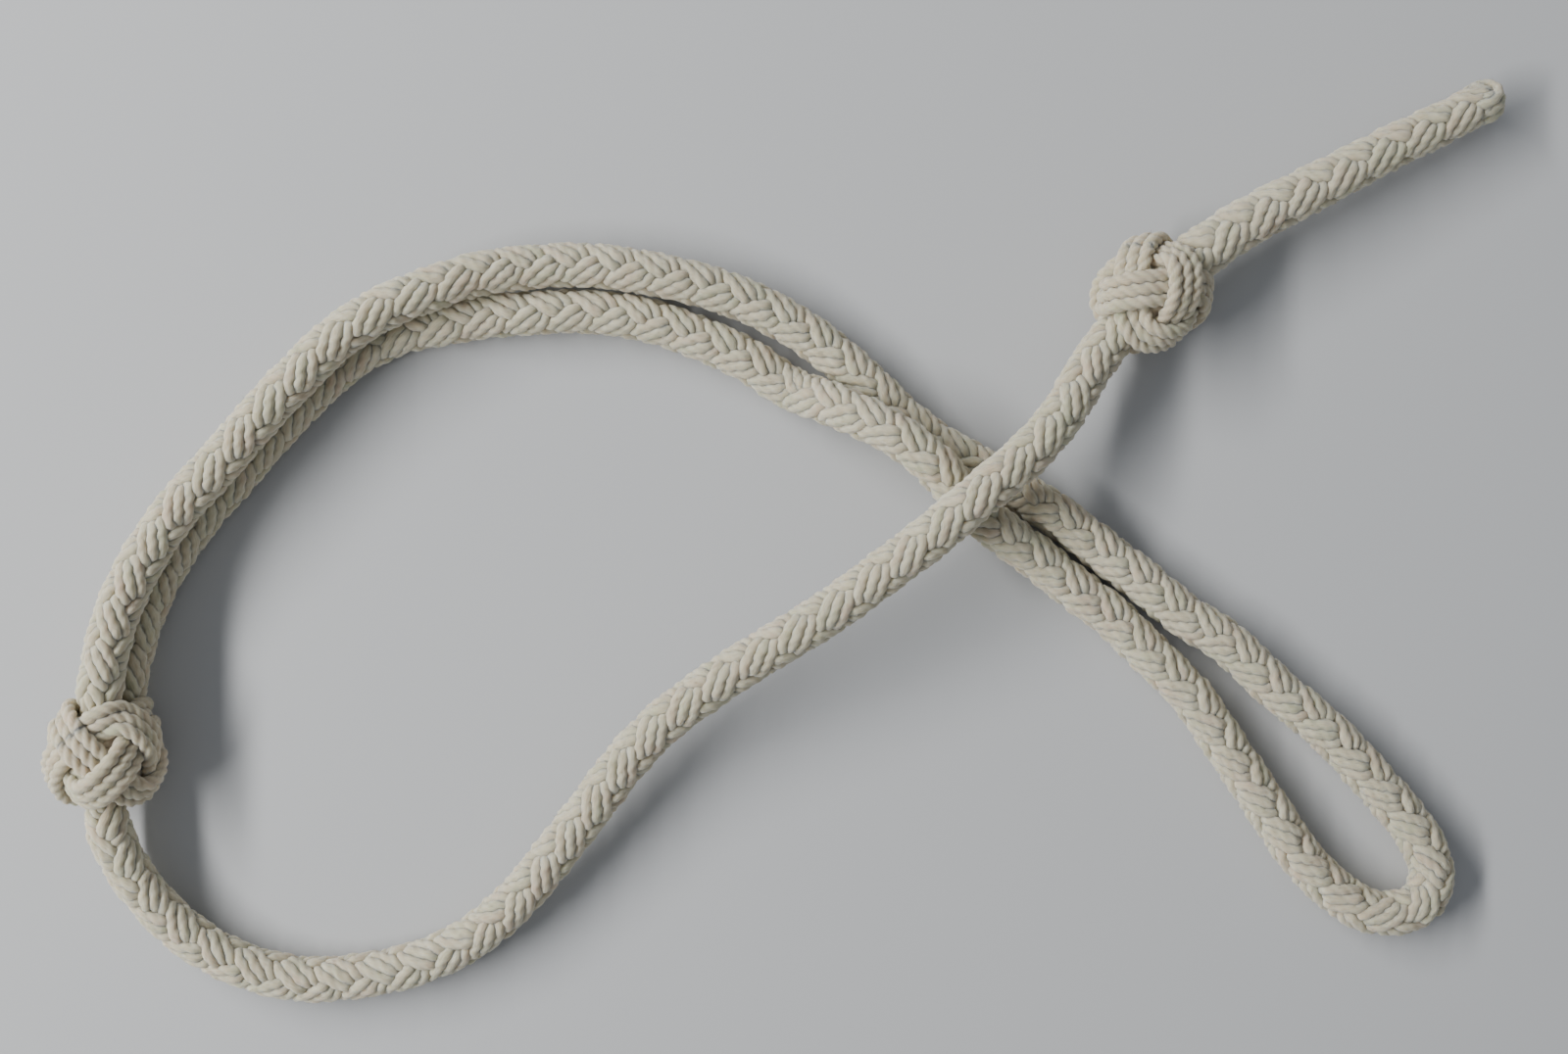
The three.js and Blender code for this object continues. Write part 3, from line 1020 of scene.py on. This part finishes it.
@dataclass
class BallKnot:
    """A ball knot: a band of three cords that goes round the rope while it swings from rim to rim.

    The band goes round three times and swings four times, over and under itself by turns, and so it
    crosses itself eight times before it closes. The size is along the rope, across it and up, and the rise
    is how far the band's middle lies above or below the ball where it crosses.
    """

    name: str
    centre: Array
    along: Array
    size: tuple[float, float, float]
    ropes: Array
    turn: float = 0.0
    cord: float = 3.1
    rope_radius: float = 5.6
    leads: int = 3
    bights: int = 4
    swing: float = 46.0
    rise: float = 1.5
    nearness: float = 0.95
    pressed_in: float = 0.3
    push_share: float = 0.2
    rope_push: float = 1.2
    taut_share: float = 0.2
    home_share: float = 0.04
    rounds: int = 90
    line_step: float = 0.45
    heart_inset: float = 3.5
    heart_shorter: float = 4.0
    seed: int = 0
    yarn: Yarn = field(
        default_factory=lambda: Yarn(3.25, plies=3, pitch=8.4, groove=0.27, slub=0.06, sides=18)
    )

    def __post_init__(self) -> None:
        """Sets the knot's own three directions: along the rope, across it and up."""
        along = self.along / np.linalg.norm(self.along)
        self.axes = np.array([along, np.cross(UP, along), UP])

    def _start(self, points: int = 150) -> Array:
        """Lays the band's three cords before they settle.

        Args:
            points: How many points each cord has.

        Returns:
            The cords, as cords by points by 3.
        """
        first_crossing = 2 * np.pi / (3 * self.bights) * 0.5
        t = np.linspace(0, 2 * np.pi, points, endpoint=False) + first_crossing
        longitude = self.leads * t + math.radians(self.turn)
        latitude = math.radians(self.swing) * np.cos(self.bights * t)
        wave = np.sin(self.bights * (self.leads - 1) * t)
        height = self.rise * CROSSING_GAIN * wave
        half = [self.size[0] / 2] + [(full - self.cord) / 2 - self.rise for full in self.size[1:]]
        reach = np.cos(latitude)
        unit = np.stack([np.sin(latitude), reach * np.cos(longitude), reach * np.sin(longitude)], 1)
        middle = unit * half
        normal = unit / half
        normal /= np.linalg.norm(normal, axis=1)[:, None]
        ahead = np.roll(middle, -1, 0) - np.roll(middle, 1, 0)
        side = np.cross(normal, ahead / np.linalg.norm(ahead, axis=1)[:, None])
        band = []
        for step in (-1, 0, 1):
            cord = middle + step * self.cord * side
            cord = cord / np.sqrt(((cord / half) ** 2).sum(1))[:, None]
            band.append((cord + height[:, None] * normal) @ self.axes + self.centre)
        return np.array(band)

    def _settle(self, band: Array) -> Array:
        """Lets the cords push each other and the rope aside.

        Args:
            band: The cords before, each of which closes on itself.

        Returns:
            The cords after.
        """
        count, long, _ = band.shape
        places = band.copy()
        index = np.arange(count * long)
        step = np.abs(index[:, None] - index[None]) % long
        near = np.minimum(step, long - step) < NEIGHBOURS
        same = (index[:, None] // long) == (index[None] // long)
        apart = ~(same & near)
        contact = self.nearness * self.cord
        clear = self.rope_radius + self.cord / 2 - self.pressed_in
        for _ in range(self.rounds):
            taut = (np.roll(places, 1, 1) + np.roll(places, -1, 1)) / 2 - places
            flat = places.reshape(-1, 3)
            gap = flat[:, None] - flat[None]
            far = np.linalg.norm(gap, axis=-1) + TINY
            deep = np.clip(contact - far, 0, None) * apart
            push = (gap * (deep / far)[..., None]).sum(1)
            away = flat[:, None] - self.ropes[None]
            reach = np.linalg.norm(away, axis=-1)
            best = np.argmin(reach, axis=1)
            nearest = reach[index, best]
            in_rope = np.clip(clear - nearest, 0, None)[:, None]
            push += self.rope_push * in_rope * away[index, best] / nearest[:, None]
            pushed = self.push_share * push.reshape(places.shape)
            places = places + pushed + self.taut_share * taut + self.home_share * (band - places)
            places[..., 2] = np.maximum(places[..., 2], self.cord / 2)
        return places

    def build(self, material: bpy.types.Material) -> list[bpy.types.Object]:
        """Makes the knot's band and the heart of rope ends that fills it.

        Args:
            material: Their finish.

        Returns:
            The two pieces.
        """
        band = self._settle(self._start())
        closed = np.concatenate([band, band[:, :2]], axis=1)
        fine = [Line(smooth_line(c, 6)) for c in closed]
        count = int(max(line.length for line in fine) / self.line_step)
        lines = np.array([line.at(np.linspace(0, line.length, count)) for line in fine])
        outside = self.yarn.tubes(lines, None, self.seed).build(f"{self.name}_cord", material)
        fat = min(self.size[1:]) - self.heart_inset * self.cord
        long = np.linspace(-0.5, 0.5, 40)[:, None] * (self.size[0] - self.heart_shorter)
        core = Yarn(fat, plies=9, pitch=30.0, groove=0.06, slub=0.0, sides=36, fuzz=0.1)
        heart = core.tubes((self.centre + long * self.axes[0])[None], None, self.seed + 1)
        return [outside, heart.build(f"{self.name}_heart", material)]


def joined(first: Skin, second: Skin) -> Skin:
    """Two skins with as many points and sides as each other, as one."""
    return Skin(
        np.concatenate([first.rings, second.rings]),
        first.around,
        np.concatenate([first.along, second.along]),
        np.concatenate([first.hairs, second.hairs]),
    )


@dataclass
class TailCrown:
    """The tail's tip, where the strands' ends turn over it, cross and are tucked back in.

    The inset is how much lower the second set of loops reaches, the taper is the length over which a loop
    would shrink to nothing with its inset, and the narrowing is the share by which the square of an outer
    loop is less than that of the middle one.
    """

    tip: Array
    along: Array
    radius: float = 3.9
    reach: float = 4.6
    spread: float = 2.45
    inset: float = 1.3
    taper: float = 9.0
    narrowing: float = 0.16
    set_back: float = 2.2
    bend: tuple[float, float] = (-50.0, 230.0)
    heart: float = 8.4
    heart_ends: tuple[float, float] = (-6.0, 2.6)
    heart_set_back: float = 0.6
    yarn: Yarn = field(
        default_factory=lambda: Yarn(2.7, plies=3, pitch=9.0, groove=0.15, slub=0.05, sides=14)
    )

    def build(self, material: bpy.types.Material) -> bpy.types.Object:
        """Makes two sets of three loops, one set over the other.

        Args:
            material: Their finish.

        Returns:
            The piece.
        """
        along = self.along / np.linalg.norm(self.along)
        side = np.cross(along, UP)
        side /= np.linalg.norm(side)
        top = np.cross(side, along)
        bend = np.radians(np.linspace(*self.bend, 60))
        loops = []
        for a, b, inset in ((side + top, top - side, 0.0), (top - side, side + top, self.inset)):
            a, b = a / np.linalg.norm(a), b / np.linalg.norm(b)
            for step in (-1, 0, 1):
                shrink = math.sqrt(1 - self.narrowing * step * step) - inset / self.taper
                loops.append(
                    self.tip
                    - self.set_back * along
                    + np.cos(bend)[:, None] * self.radius * shrink * a
                    + (np.sin(bend)[:, None] * (self.reach - inset) * shrink) * along
                    + step * self.spread * b
                )
        skin = self.yarn.tubes(np.array(loops), None, 51)
        long = np.linspace(*self.heart_ends, len(bend))[:, None]
        core = Yarn(self.heart, plies=6, pitch=20.0, groove=0.08, slub=0.0, sides=self.yarn.sides)
        heart = core.tubes((self.tip + (long - self.heart_set_back) * along)[None], None, 52)
        return joined(skin, heart).build("tail_crown_loops", material)


@dataclass
class Seizing:
    """The twine that binds the eye's two legs together inside the base knot."""

    centre: Array
    turns: int = 3
    half_width: float = 5.4
    half_height: float = 9.2
    spacing: float = 1.04
    squareness: float = 3.0
    twine: Yarn = field(
        default_factory=lambda: Yarn(1.25, plies=2, pitch=3.6, groove=0.12, slub=0.02, sides=10, fuzz=0.3)
    )

    def build(self, material: bpy.types.Material) -> bpy.types.Object:
        """Makes the winding.

        Args:
            material: Its finish.

        Returns:
            The piece.
        """
        t = np.linspace(0, 2 * np.pi * self.turns, 120 * self.turns)
        straight = self.half_height - self.half_width
        round_it = np.stack([np.cos(t), np.zeros_like(t), np.sin(t)], 1) * self.half_width
        round_it[:, 2] += straight * np.tanh(self.squareness * np.sin(t))
        round_it[:, 1] = self.twine.diameter * self.spacing * (t / (2 * np.pi) - self.turns / 2)
        skin = self.twine.tubes((self.centre + round_it)[None], None, 61)
        return skin.build("seizing_twine", material)


# ---------------------------------------------------------------- the halter


@dataclass
class Halter:
    """The whole halter: its braids, its knots and the twine inside the base knot."""

    routes: Routes = field(default_factory=Routes)
    cell: BraidCell = field(default_factory=BraidCell)
    yarn: Yarn = field(default_factory=Yarn)

    def __post_init__(self) -> None:
        """Makes the finishes."""
        self.braid_cotton = SpunCotton("soft_spun_cotton_braid").material()
        self.knot_cotton = SpunCotton("plied_cotton_knot_cord", light="#c8bea6").material()
        self.twine_cotton = SpunCotton("hard_laid_cotton_twine", light="#c5bba2", bleed=0.5).material()

    def eye(self) -> list[bpy.types.Object]:
        """The doubled eye, which bends where its end swings.

        Returns:
            Its pieces.
        """
        braid = Braid(
            "eye_braid",
            self.routes.eye(),
            self.cell,
            self.yarn,
            rolls=((0, 82), (0.12, 78), (0.2, 50), (0.42, 45), (0.62, 135), (1, 135)),
            girths=((0, 0.55), (0.011, 0.62), (0.016, 1), (0.984, 1), (0.989, 0.62), (1, 0.55)),
            seed=1,
        )
        pieces = braid.build(self.braid_cotton)
        braid.declare("object")
        nodes = ("eye_leg_outer", "eye_leg_inner", "eye_end_outer", "eye_end_inner", "eye_bight")
        for piece in pieces:
            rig.replaces(piece, *nodes)
            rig.slot(piece, "braid_cotton")
            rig.blend(
                piece,
                "halter",
                "eye_end",
                start=(0.068, 0.004, 0.006),
                end=(0.092, -0.016, 0.006),
            )
        return pieces

    def standing(self) -> list[bpy.types.Object]:
        """The standing part and the free end, which bends on its way down to the toggle knot.

        Returns:
            Its pieces.
        """
        braid = Braid(
            "body_braid",
            self.routes.standing(),
            self.cell,
            self.yarn,
            rolls=((0, 45), (0.1, 42), (0.24, 25), (0.34, 40), (0.45, 75), (0.55, 84), (1, 84)),
            girths=((0, 0.6), (0.03, 0.7), (0.045, 1), (1, 1)),
            seed=11,
        )
        pieces = braid.build(self.braid_cotton)
        braid.declare("object")
        for piece in pieces:
            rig.replaces(piece, "standing_braid", "free_end_braid")
            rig.slot(piece, "braid_cotton")
            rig.blend(
                piece,
                "halter",
                "free_end",
                start=(0.066, 0.024, 0.02),
                end=(0.080, 0.043, 0.017),
            )
        return pieces

    def tail(self) -> list[bpy.types.Object]:
        """The tail beyond the toggle knot, thicker at its root.

        Returns:
            Its pieces.
        """
        braid = Braid(
            "tail_braid",
            self.routes.tail(),
            self.cell,
            self.yarn,
            rolls=((0, 66), (1, 58)),
            girths=((0, 1.0), (0.12, 1.16), (0.4, 1.1), (0.7, 1.0), (0.93, 0.95), (1, 0.8)),
            seed=21,
        )
        pieces = braid.build(self.braid_cotton)
        braid.declare("bare")
        for piece in pieces:
            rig.replaces(piece, "tail_braid")
            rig.slot(piece, "braid_cotton")
            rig.blend(
                piece,
                "free_end",
                "tail",
                start=(0.099, 0.066, 0.013),
                end=(0.112, 0.077, 0.013),
            )
        return pieces

    def tail_crown(self) -> list[bpy.types.Object]:
        """The tucked tip of the tail.

        Returns:
            Its pieces.
        """
        line = self.routes.tail()
        end = line.points[-1:]
        along = line.direction(np.array([line.length - 2.0]))[0]
        piece = TailCrown(end[0], along).build(self.braid_cotton)
        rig.replaces(piece, "tail_crown")
        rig.slot(piece, "braid_cotton")
        return [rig.ride(piece, "tail")]

    def seizing(self) -> list[bpy.types.Object]:
        """The twine round the two legs, just inside the base knot's mouth.

        Returns:
            Its pieces.
        """
        centre = np.array([-165.0, -48.3, self.routes.base_axis]) + np.array(self.routes.shift)
        piece = Seizing(centre).build(self.twine_cotton)
        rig.replaces(piece, "base_seizing")
        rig.slot(piece, "twine")
        return [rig.ride(piece, "halter")]

    def base_knot(self) -> list[bpy.types.Object]:
        """The base knot, which gathers the eye's two legs and the standing part.

        Returns:
            Its pieces.
        """
        eye, standing = self.routes.eye(), self.routes.standing()
        mouths = np.vstack(
            [
                eye.at(np.arange(11, 30, 1.5)),
                eye.at(eye.length - np.arange(11, 30, 1.5)),
                standing.at(np.arange(12, 30, 1.5)),
            ]
        )
        knot = BallKnot(
            "base_knot",
            np.array([-165.0, -51.5, self.routes.base_axis]) + np.array(self.routes.shift),
            np.array([0.0, 1.0, 0.0]),
            (28.2, 32.2, 31.1),
            mouths,
            turn=20.0,
            seed=31,
        )
        pieces = knot.build(self.knot_cotton)
        for piece in pieces:
            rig.replaces(piece, "base_knot")
            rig.slot(piece, "knot_cotton")
            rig.ride(piece, "halter")
        return pieces

    def toggle_knot(self) -> list[bpy.types.Object]:
        """The toggle knot, which passes through the eye and holds it shut.

        Returns:
            Its pieces.
        """
        standing, tail = self.routes.standing(), self.routes.tail()
        ropes = np.vstack(
            [
                standing.at(standing.length - np.arange(0, 30, 1.5)),
                tail.at(np.arange(0, 30, 1.5)),
            ]
        )
        knot = BallKnot(
            "toggle_knot",
            np.array([95.0, 62.5, self.routes.toggle_axis]) + np.array(self.routes.shift),
            np.array([0.72, 0.69, 0.0]),
            (28.4, 30.0, 27.2),
            ropes,
            turn=-25.0,
            seed=41,
        )
        pieces = knot.build(self.knot_cotton)
        for piece in pieces:
            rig.replaces(piece, "toggle_knot")
            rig.slot(piece, "knot_cotton")
            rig.ride(piece, "free_end")
        return pieces


# ---------------------------------------------------------------- the studio


@dataclass
class Studio:
    """The floor, a strip softbox up on the left, an even sky, and the camera straight above.

    The strip's long sides run along y, level with the floor.
    """

    look_at: tuple[float, float] = (3.5, 4.5)
    camera_height: float = 555.6
    sky: str = "#c9ced6"
    sky_strength: float = 0.45
    strip_place: tuple[float, float, float] = (-1000.0, 330.0, 930.0)
    strip_sides: tuple[float, float] = (1750.0, 160.0)
    strip_watts: float = 34.0
    floor_half: float = 4000.0

    def camera(self) -> None:
        """Makes the camera, which looks straight down with +Y up."""
        lens = bpy.data.cameras.new("camera")
        lens.lens = 50.0
        lens.sensor_width = 36.0
        lens.clip_start = 0.01
        lens.clip_end = 10.0
        eye = bpy.data.objects.new("camera", lens)
        eye.location = (self.look_at[0] * MM, self.look_at[1] * MM, self.camera_height * MM)
        bpy.context.scene.collection.objects.link(eye)
        bpy.context.scene.camera = eye

    def floor(self) -> None:
        """Makes the floor."""
        mesh = bpy.data.meshes.new("floor")
        half = self.floor_half * MM
        mesh.from_pydata(
            [(-half, -half, 0), (half, -half, 0), (half, half, 0), (-half, half, 0)],
            [],
            [(0, 1, 2, 3)],
        )
        mesh.materials.append(PaperSweep().material())
        floor = bpy.data.objects.new("floor", mesh)
        bpy.context.scene.collection.objects.link(floor)
        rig.stage(floor)

    def lights(self) -> None:
        """Hangs the strip softbox, turned towards the halter, and makes the sky."""
        lamp = bpy.data.lights.new("strip_softbox", "AREA")
        lamp.energy = self.strip_watts
        lamp.shape = "RECTANGLE"
        lamp.size, lamp.size_y = (side * MM for side in self.strip_sides)
        strip = bpy.data.objects.new("strip_softbox", lamp)
        x, y, z = (v * MM for v in self.strip_place)
        strip.location = (x, y, z)
        strip.rotation_euler = Vector((-x, 0.0, -z)).to_track_quat("-Z", "Y").to_euler()
        bpy.context.scene.collection.objects.link(strip)
        world = bpy.data.worlds.new("sky")
        world.use_nodes = True
        sky = world.node_tree.nodes["Background"]
        sky.inputs["Color"].default_value = linear(self.sky)
        sky.inputs["Strength"].default_value = self.sky_strength
        bpy.context.scene.world = world


def main() -> None:
    """Builds the scene in order and reports each piece."""
    logging.basicConfig(level=logging.INFO, format="%(message)s")
    studio = Studio()
    studio.camera()
    halter = Halter()
    cords = (halter.eye, halter.standing, halter.tail)
    for stage in (*cords, halter.tail_crown, halter.seizing, halter.base_knot, halter.toggle_knot):
        for piece in stage():
            LOG.info("%s: %d faces", piece.name, len(piece.data.polygons))
    studio.floor()
    studio.lights()
    sizes = {"cad": [list(v) for v in CAD_BOX], "visual": [list(v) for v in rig.bounds()]}
    with open("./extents.json", "w") as out:
        json.dump(sizes, out)


if __name__ == "__main__":
    main()
